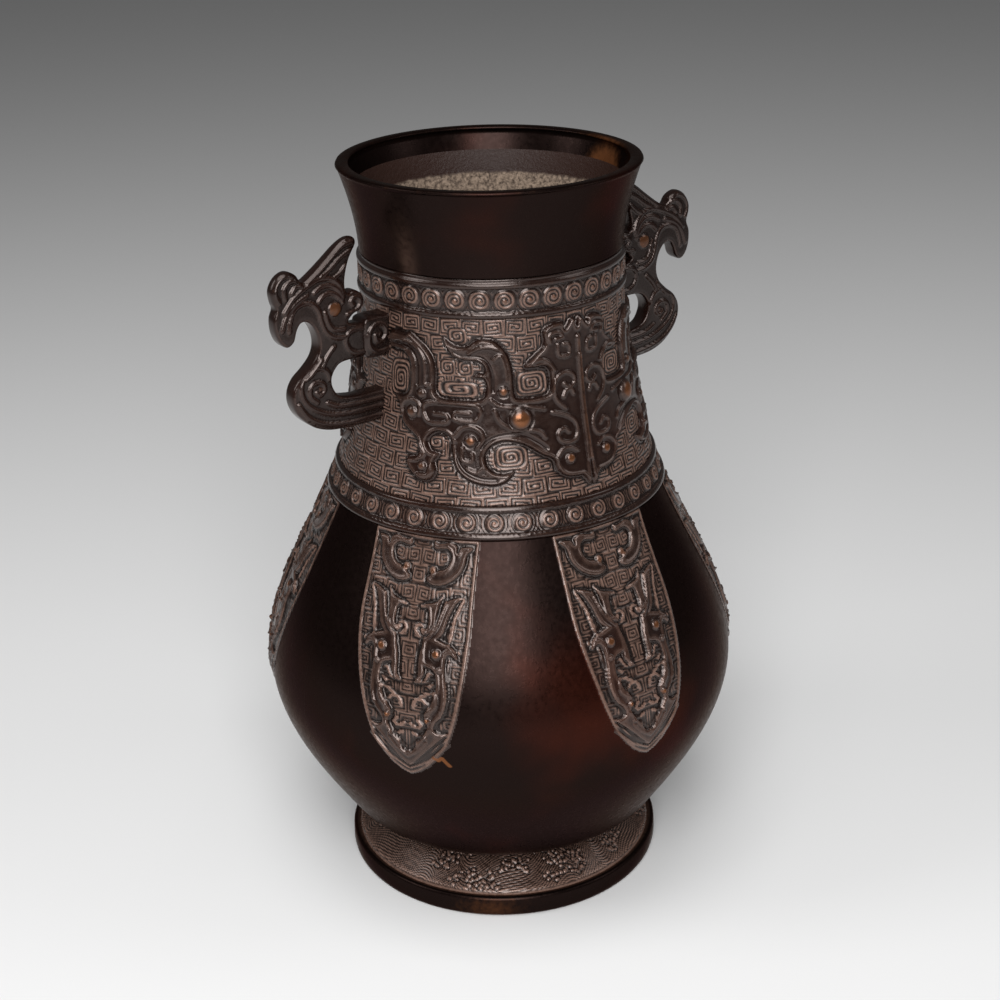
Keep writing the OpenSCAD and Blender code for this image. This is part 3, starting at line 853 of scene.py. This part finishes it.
def belly(name, turn, step, across):
    """Half of the belly with three hanging blades, its points step apart down the wall, with so many of
    them across each half blade."""
    top_line, top_out = sheet_rows(BELLY_TOP_Z, BLADES_END_Z, step)
    low_line, low_out = sheet_rows(BLADES_END_Z - 0.6, WAIST_Z + 0.3, 1.5)
    line, out = np.vstack([top_line, low_line]), np.vstack([top_out, low_out])
    near = np.linspace(0, BLADE_HALF, across)
    half = blade_relief(near, line[:, 1])
    blade_columns = np.r_[-near[:0:-1], near]
    plain = np.r_[np.linspace(BLADE_HALF, BLADE_TURN / 2 - 0.05, 9)[1:], BLADE_TURN / 2]
    columns = np.r_[-plain[::-1], blade_columns, plain]
    degrees = np.r_[columns[:-1] - BLADE_TURN, columns[:-1], columns + BLADE_TURN]
    relief = Relief(degrees[None, :], line[:, 1][:, None])
    blank = np.zeros((len(line), len(plain)))
    for sheet in ("lift", "dust", "rub_and_highlight"):
        right = getattr(half, sheet)
        one = np.hstack([blank, right[:, :0:-1], right, blank])
        setattr(relief, sheet, np.hstack([one[:, :-1], one[:, :-1], one]))
    # Only the first blade of the front half leans, more towards its tip
    lean = BLADE_LEAN * (turn == 0) * swell((150 - relief.z) / 60)
    lean = lean * swell((BLADE_TURN / 2 - np.abs(relief.x + BLADE_TURN)) / 14)
    if turn == 0:
        relief.warm = 0.27 * spot(relief.x, relief.z, *RED_PATCH)
        relief.stroke(np.array(BARE_MARK), 1.4, 0, 1.0)
    carved = (relief.dust + np.abs(relief.lift) > 0.02)[:-1, :-1]
    shell(name, np.radians(degrees + turn + lean), line, out, relief, [PATINA, RELIEF], False, carved)


# The foot: waves that run round the apron, with foam on them

# Crests round the foot, how far they sweep up and down it, the spacing of the lines that draw them, the
# radius that lengths round the apron are measured at, the patches of foam, and its points round and down
WAVE_COUNT = 6
WAVE_SWEEP = 11.0
WAVE_LINE = 1.3
APRON_R = 56.0
FOAM_PATCHES = 6 * WAVE_COUNT
APRON_COLUMNS = 820
APRON_STEP = 0.5


def apron():
    """The sloping apron of the foot, with its waves and foam."""
    line_points = np.vstack([
        bend((WAIST_R, WAIST_Z + 1.5), (0, -4), (WAIST_R + 1.2, APRON_Z - 0.6), (2.6, -2.2), 40),
        bend((WAIST_R + 1.2, APRON_Z - 0.6), (11, -9.4), (FOOT_R - 3.4, EDGE_H + 1.1), (13, -9), 80),
        [[FOOT_R - 3.4, EDGE_H + 1.1], [FOOT_R - 3.0, EDGE_H + 0.2], [FOOT_R - 2.9, EDGE_H - 0.4]]])
    steps = np.r_[0, np.cumsum(np.hypot(*np.diff(line_points, axis=0).T))]
    distances = np.linspace(0, steps[-1], int(steps[-1] / APRON_STEP))
    line, out = along(distances, line_points, steps)
    degrees = np.arange(APRON_COLUMNS) * 360 / APRON_COLUMNS
    share = (distances / steps[-1])[:, None]
    length_round = 2 * math.pi * APRON_R
    around = degrees[None, :] * math.radians(1) * APRON_R
    relief = Relief(around, distances[:, None])
    turn = 2 * math.pi * around / (length_round / WAVE_COUNT)
    swept = WAVE_SWEEP * np.sin(turn + 0.7 * np.sin(turn)) + 1.2 * np.sin(2 * turn + 1)
    flow = 0.5 + 0.5 * np.cos(2 * math.pi * (distances[:, None] - swept) / WAVE_LINE)
    relief.lift = 0.5 * flow
    foot_draw = random.Random(7)
    foam = Relief(around, distances[:, None])
    patch = np.zeros(relief.x.shape)
    for _ in range(FOAM_PATCHES):
        middle = np.array([foot_draw.uniform(0, length_round), foot_draw.uniform(5, 19)])
        size = foot_draw.uniform(2.5, 6)
        for _ in range(int(size ** 2 * 0.9)):
            way, far = foot_draw.uniform(0, 2 * math.pi), size * foot_draw.uniform(0, 1) ** 0.5
            place = middle + far * np.array([math.cos(way) * 1.4, math.sin(way) * 0.8])
            foam.bead(place, foot_draw.uniform(0.7, 1.0), 0.6, 0.1)
            window = foam.near(place[None], 1.5)
            if window:
                gap = np.hypot(relief.x[window] - place[0], relief.z[window] - place[1])
                patch[window] = np.maximum(patch[window], swell((1.4 - gap) / 0.5))
    relief.lift = relief.lift * (1 - patch) + np.clip(foam.lines, 0, 1) * patch
    relief.lift = relief.lift * swell((share - 0.1) / 0.06) * swell((0.95 - share) / 0.04)
    relief.dust = (0.85 + 0.15 * swell((share - 0.8) / 0.15)) * swell((1.0 - share) / 0.02) + 0 * around
    relief.rub_and_highlight = foam.rub_and_highlight
    relief.pale = 0.45 * swell((share - 0.93) / 0.03) + 0 * around
    shell("wave_apron", np.radians(degrees), line, out, relief, [RELIEF], True)


# The handles, drawn from the eye of the bird as [out from the neck, up]

EYE = (74.0, 255.0)
HANDLE_OUTLINE = [
    [-19.3, -48.2], [-17, -48.2], [-10, -48.2], [-4.3, -48], [3.7, -47.3], [9.7, -45.4], [14.2, -42.3],
    [17.9, -38.2], [19.7, -33.5], [19.3, -29], [16.9, -25], [12.7, -21.7], [8.9, -17.8], [7.3, -13.5],
    [7.7, -9], [9.6, -4.9], [12.2, -2.8], [14.6, -3.2], [16.2, -5.7], [17.6, -9.4], [20.3, -11.1], [23, -9.2],
    [24.8, -5], [25.1, 0], [23.9, 3.8], [24.7, 6.5], [25.2, 11], [22.8, 15.3], [18.7, 17.2], [14.7, 15.5],
    [12.3, 12.3], [8, 14.6], [2.5, 18.7], [-3, 23], [-7.5, 25.3], [-11, 25], [-11.7, 22.5], [-8.5, 17.5],
    [-6.4, 12], [-5.7, 7.4], [-6.8, 4.6], [-9.4, 5.2], [-12.6, 3.4], [-13.4, 0], [-11.4, -2.8], [-8.4, -3.8],
    [-6, -6.4], [-10, -7.7], [-16, -7.5], [-21, -7.5], [-24.6, -7.5],
    [-23.6, -21.1], [-19, -21.1], [-12, -21.2], [-2.6, -21.4], [0.8, -23.4], [2.6, -26.8], [2.2, -30.6],
    [-0.6, -34.4], [-7, -35.9], [-13, -36], [-19, -36], [-21.6, -36]]
HANDLE_RIBS = [
    [[-4.4, 5], [-2.6, 9], [1.2, 11.8], [5.6, 12.2], [9.5, 10.9], [13.4, 9.1], [17.4, 6.5], [20.9, 2.4]],
    [[-3.9, 3.6], [-1.9, 7.2], [1.5, 9.3], [5.2, 9.2], [8, 7.6]],
    [[-3.4, 1.8], [-1.5, 4.8], [1.5, 6.3], [4.4, 5.8], [6.4, 4]],
    [[-3.8, -11.6], [0.5, -10.9], [4.1, -8.3], [5.9, -4], [6.9, 0.5], [9.3, 3.6], [13.2, 4.4], [17, 2.6],
     [19, -1.4], [19.6, -5]],
    [[-3.4, -8.5], [1, -7.7], [3.3, -4.7], [4.1, -0.5]],
    [[11.3, 7], [16.2, 5], [20.4, 0.8], [22.4, -4.2]],
    [[-9.6, 23.6], [-4.4, 22.2], [1.5, 17.8], [6.4, 14.3], [10.3, 11.8]],
    [[-8.6, 20.6], [-3.9, 18.4], [1, 14.8], [4.6, 13]],
    [[-6.4, 15.4], [-3.4, 12.8], [-1, 11.6]],
    [[16, 15.3], [19.6, 15.7], [23, 13.4], [24, 9.5], [22.6, 6.3]],
    [[15, 13.6], [18, 13.3], [20.2, 11], [20.1, 7.3]],
    [[13, 10.8], [15.6, 11], [17.3, 9]],
    [[-5.4, -3], [-8.6, -2.5], [-11.2, -0.6], [-11, 1.8], [-8.9, 2.8], [-7.2, 1.4], [-8, -0.1]],
    [[3.9, -26.5], [5.4, -23], [9.4, -21.2], [13.9, -22.9], [16.4, -27], [15.6, -32.4], [11.4, -37],
     [4.4, -40.4], [-3, -41.7], [-10, -42], [-19, -42]],
    [[9.8, -34.6], [12.6, -31.8], [12.6, -28.4], [10.2, -26.6], [7.3, -27.6], [6.6, -30.2], [8.4, -31.9],
     [9.9, -30.6]],
    [[5.6, -35.6], [1, -37.9], [-6, -38.7], [-12, -38.9], [-19, -38.9]],
    [[17.8, -34], [14.2, -39.6], [7.6, -43.6], [-1, -45.4], [-9, -45.8], [-19, -45.8]],
    [[-12, -19], [-8.3, -18.8], [-5.2, -16.9], [-3.9, -13.4], [-5.4, -10.4], [-8.9, -9.6], [-12, -10]],
    [[7.2, -18.4], [11.4, -23], [14, -24.4]],
    [[1.4, -14.4], [4.4, -17.4], [6.4, -20.6]]]
LUG_OUTLINE = [
    [-23.5, -22.1], [-21.5, -22.2], [-17, -22.3], [-13.4, -21.9], [-11.8, -20.4], [-11.4, -16], [-11.4, -12],
    [-11.8, -8], [-13.2, -6.5], [-17, -6.2], [-22, -6.3], [-24.5, -6.4]]
LUG_RIBS = [
    [[-22.5, -19.6], [-17, -19.8], [-13.9, -17.6], [-13.2, -13.8], [-14.6, -10.3], [-17.8, -8.8],
     [-20.6, -10.4], [-21.3, -13.4], [-19.4, -15.9], [-16.8, -15.4], [-16.3, -13.2]]]

# The bird's eye and the buttons of its curls, as [place, radius, rise, rub]
HANDLE_SPOTS = [[[0, 0], 2.9, 1.0, 0.55], [[8.3, -29.6], 1.1, 0.5, 0.4]]
LUG_SPOTS = [[[-18.2, -13], 1.0, 0.5, 0.3]]

# Half thicknesses, and how far in from its outline a handle is rounded over
ARM_HALF = 4.2
HEAD_HALF = 3.8
CREST_HALF = 2.9
LUG_HALF = 5.4
HANDLE_EDGE = 2.1

# Half the width of a rib, its height, and how far the side sinks between ribs
RIB_HALF = 0.95
RIB_RISE = 0.95
SIDE_DEPTH = 0.55

# Spacing of the points round a handle's outline and over its side, the insets of two rings of points
# that keep the rounded edge smooth, and the least inset of the points over the side
OUTLINE_STEP = 0.5
SIDE_STEP = 0.48
RING_INSETS = (0.12, 0.38)
SIDE_INSET = 0.72

# The far handle is a little larger than the near one, as hand-made castings are
HANDLE_TOP = np.array([52.0, 0.0, 280.0])
HANDLE_SCALE = {-1: 0.985, 1: 1.03}


def handle_sheet(points, outline, ribs, spots, lug):
    """How far the side of a handle or a lug stands from its middle plane at each point, and its dust,
    its rub, and how far it rises over its surroundings, which the material paints as light on the ribs
    and as shade between them."""
    x, z = points[:, 0], points[:, 1]
    inset = distance(x, z, np.vstack([outline, outline[:1]]))
    half = np.interp(z, [-48, -8, 2, 17, 26], [ARM_HALF, ARM_HALF, HEAD_HALF, CREST_HALF, CREST_HALF - 0.5])
    half = LUG_HALF + 0 * x if lug else half - 0.5 * swell((x - 12) / 12)
    edge = np.clip(inset / HANDLE_EDGE, 0, 1)
    body = half - HANDLE_EDGE + HANDLE_EDGE * np.sqrt(1 - (1 - edge) ** 2)
    lines = np.zeros(len(x))
    rub_and_highlight = 0.36 * np.exp(-((inset - 0.7) / 0.6) ** 2)
    for points_of_rib in ribs:
        gap = distance(x, z, rounded(points_of_rib))
        lines = np.maximum(lines, np.sqrt(np.clip(1 - (gap / RIB_HALF) ** 2, 0, 1)))
        rub_and_highlight = np.maximum(rub_and_highlight, 0.15 * np.clip(1.2 - gap / 0.8, 0, 1))
    for place, radius, rise, gold in spots:
        gap = np.hypot(x - place[0], z - place[1]) / radius
        dome = np.sqrt(np.clip(1 - gap ** 2, 0, 1)) * rise
        lines = np.where(gap < 1.25, np.where(gap < 1, dome, 0), lines)
        rub_and_highlight = np.maximum(rub_and_highlight, gold * (gap < 0.9))
    carved = swell((inset - 0.5) / 0.9)
    side = body + carved * (RIB_RISE * lines - SIDE_DEPTH)
    dust = 0.65 * carved * (1 - np.clip(lines * 1.6, 0, 1))
    return side, dust, rub_and_highlight, carved * (lines - 0.45)


def handle_mesh(side_of_x, outline, ribs, spots, lug=False):
    """Points, faces and fields of a handle or its lug, its two sides drawn alike and joined round the
    edge."""
    outline = rounded(outline, 5, closed=True)
    closed_line = np.vstack([outline, outline[:1]])
    run = np.r_[0, np.cumsum(np.hypot(*np.diff(closed_line, axis=0).T))]
    around = np.arange(0, run[-1], run[-1] / int(run[-1] / OUTLINE_STEP))
    outline = np.column_stack([np.interp(around, run, closed_line[:, i]) for i in (0, 1)])
    closed_line = np.vstack([outline, outline[:1]])
    low, high = outline.min(0), outline.max(0)
    across, up = np.meshgrid(*(np.arange(low[i], high[i], SIDE_STEP) for i in (0, 1)))
    inner = np.column_stack([across.ravel(), up.ravel()])
    inner = inner[within(inner[:, 0], inner[:, 1], outline)]
    inner = inner[distance(inner[:, 0], inner[:, 1], closed_line) > SIDE_INSET]
    way = np.roll(outline, -1, 0) - np.roll(outline, 1, 0)
    way /= np.linalg.norm(way, axis=1)[:, None]
    rings = []
    for inset in RING_INSETS:
        ring = outline + inset * np.column_stack([-way[:, 1], way[:, 0]])
        clear = distance(ring[:, 0], ring[:, 1], closed_line) > inset * 0.7
        rings.append(ring[clear & within(ring[:, 0], ring[:, 1], outline)])
    points = np.vstack([outline] + rings + [inner])
    result = delaunay_2d_cdt([Vector(p) for p in points], [], [list(range(len(outline)))], 1, 1e-4)
    flat = np.array([list(v) for v in result[0]])
    triangles = np.array([f for f in result[2] if len(f) == 3])
    side, dust, rub_and_highlight, crest = handle_sheet(flat, outline, ribs, spots, lug)
    count = len(flat)
    front = np.column_stack([flat[:, 0] + EYE[0], -side, flat[:, 1] + EYE[1]])
    back = front * [1, -1, 1]
    edges = np.concatenate([triangles[:, [0, 1]], triangles[:, [1, 2]], triangles[:, [2, 0]]])
    _, first, counts = np.unique(np.sort(edges, 1), axis=0, return_index=True, return_counts=True)
    rim = edges[first[counts == 1]]
    a, b = rim[:, 0], rim[:, 1]
    faces = [triangles, triangles[:, ::-1] + count, np.stack([b, a, a + count, b + count], -1)]
    points = np.vstack([front, back])
    points = HANDLE_TOP + (points - HANDLE_TOP) * HANDLE_SCALE[side_of_x]
    points = points * [side_of_x, 1, 1]
    if side_of_x < 0:
        faces = [f[:, ::-1] for f in faces]
    fields = {"dust": np.r_[dust, dust], "rub_and_highlight": np.r_[rub_and_highlight, rub_and_highlight], "crest": np.r_[crest, crest]}
    return points, faces, fields


def handles():
    """The two bird-head handles and the square lugs that their upper arms end in."""
    for name, side_of_x in (("left", -1), ("right", 1)):
        node = name + "_handle"
        points, faces, fields = handle_mesh(side_of_x, HANDLE_OUTLINE, HANDLE_RIBS, HANDLE_SPOTS)
        mesh_piece("bird_" + node, points, faces, [WORN], node, fields)
        points, faces, fields = handle_mesh(side_of_x, LUG_OUTLINE, LUG_RIBS, LUG_SPOTS, lug=True)
        mesh_piece(name + "_lug", points, faces, [WORN], node, fields)


cast_wall()
whorl_band("upper_whorl_band", WHORLS_TOP_Z, MASK_TOP_Z, (RIDGE_TOP_Z, RIDGE_MASK_Z),
           radius=4.0, count=35, columns=700)
whorl_band("lower_whorl_band", MASK_END_Z, BELLY_TOP_Z, (RIDGE_LOW_Z, RIDGE_BELLY_Z),
           radius=3.5, count=39, columns=860)
mask_band("front_mask", turn=0, columns=420, step=0.42)
mask_band("back_mask", turn=180, columns=330, step=0.52)
belly("front_belly", turn=0, step=0.52, across=59)
belly("back_belly", turn=180, step=0.75, across=44)
apron()
handles()


# The studio: a pale floor, soft lamps and a camera at the viewing angle

FLOOR_HALF = 6.0
LAMP_AIM = Vector((0, 0, 0.15))

# Each lamp's name, azimuth from the camera and elevation in degrees, distance, width and height in
# metres, and power in watts
LAMPS = [
    ("overhead_softbox", -10, 72, 1.3, 0.7, 0.7, 7),
    ("front_softbox", -1, 31, 1.4, 0.75, 1.0, 22),
    ("right_softbox", 80, 35, 1.2, 0.4, 0.6, 1.5),
    ("left_softbox", -75, 35, 1.2, 0.4, 0.6, 3)]

# The camera, fitted to the ridges and the outline of the vase
CAMERA_SIDE = -36.0
CAMERA_DISTANCE = 685.0
CAMERA_HEIGHT = 454.5
CAMERA_PITCH = 23.40
CAMERA_YAW = 0.11
CAMERA_ROLL = -1.25
CAMERA_LENS = 65.65


def lamp(name, azimuth, elevation, away, width, height, power):
    """A soft rectangular lamp that faces the vase."""
    light = bpy.data.lights.new(name, "AREA")
    light.shape = "RECTANGLE"
    light.size = width
    light.size_y = height
    light.energy = power
    softbox = bpy.data.objects.new(name, light)
    a, e = math.radians(CAMERA_SIDE + azimuth), math.radians(elevation)
    way = Vector((math.sin(a) * math.cos(e), -math.cos(a) * math.cos(e), math.sin(e)))
    softbox.location = LAMP_AIM + way * away
    softbox.rotation_mode = "QUATERNION"
    softbox.rotation_quaternion = (-way).to_track_quat("-Z", "Y")
    bpy.context.scene.collection.objects.link(softbox)


def studio():
    """A pale floor, a dim grey world and the lamps."""
    scene = bpy.context.scene
    scene.view_settings.view_transform = "Standard"
    mesh = bpy.data.meshes.new("floor")
    corners = [(x * FLOOR_HALF, y * FLOOR_HALF, 0) for x, y in ((-1, -1), (1, -1), (1, 1), (-1, 1))]
    mesh.from_pydata(corners, [], [(0, 1, 2, 3)])
    floor = bpy.data.objects.new("floor", mesh)
    scene.collection.objects.link(floor)
    # Matt paper: an even pale grey with no shine
    paper, tree = new_material("pale_paper")
    surface = add(tree, "ShaderNodeBsdfPrincipled", {"Base Color": srgb("#e3e3e3"), "Roughness": 0.9})
    add(tree, "ShaderNodeOutputMaterial", {"Surface": surface})
    mesh.materials.append(paper)

    world = bpy.data.worlds.new("studio")
    scene.world = world
    world.use_nodes = True
    world.node_tree.nodes.clear()
    backing = add(world.node_tree, "ShaderNodeBackground", {"Color": (0.8, 0.8, 0.8, 1), "Strength": 0.13})
    add(world.node_tree, "ShaderNodeOutputWorld", {"Surface": backing})
    for settings in LAMPS:
        lamp(*settings)


def camera():
    """The camera, in front of the vase and then turned round it."""
    pitch, yaw, roll = (math.radians(v) for v in (CAMERA_PITCH, CAMERA_YAW, CAMERA_ROLL))
    look = Vector((math.sin(yaw) * math.cos(pitch), math.cos(yaw) * math.cos(pitch), -math.sin(pitch)))
    right = Vector((math.cos(yaw), -math.sin(yaw), 0))
    up = right.cross(look)
    right, up = (math.cos(roll) * right + math.sin(roll) * up,
                 -math.sin(roll) * right + math.cos(roll) * up)
    turn = Matrix.Rotation(math.radians(CAMERA_SIDE), 4, "Z")
    frame_of_view = Matrix((right, up, -look)).transposed().to_4x4()
    place = Matrix.Translation(Vector((0, -CAMERA_DISTANCE, CAMERA_HEIGHT)) * MM)
    data = bpy.data.cameras.new("camera")
    data.lens = CAMERA_LENS
    data.sensor_width = 36
    data.clip_start = 0.01
    view = bpy.data.objects.new("camera", data)
    view.matrix_world = turn @ place @ frame_of_view
    bpy.context.scene.collection.objects.link(view)
    bpy.context.scene.camera = view


camera()
studio()
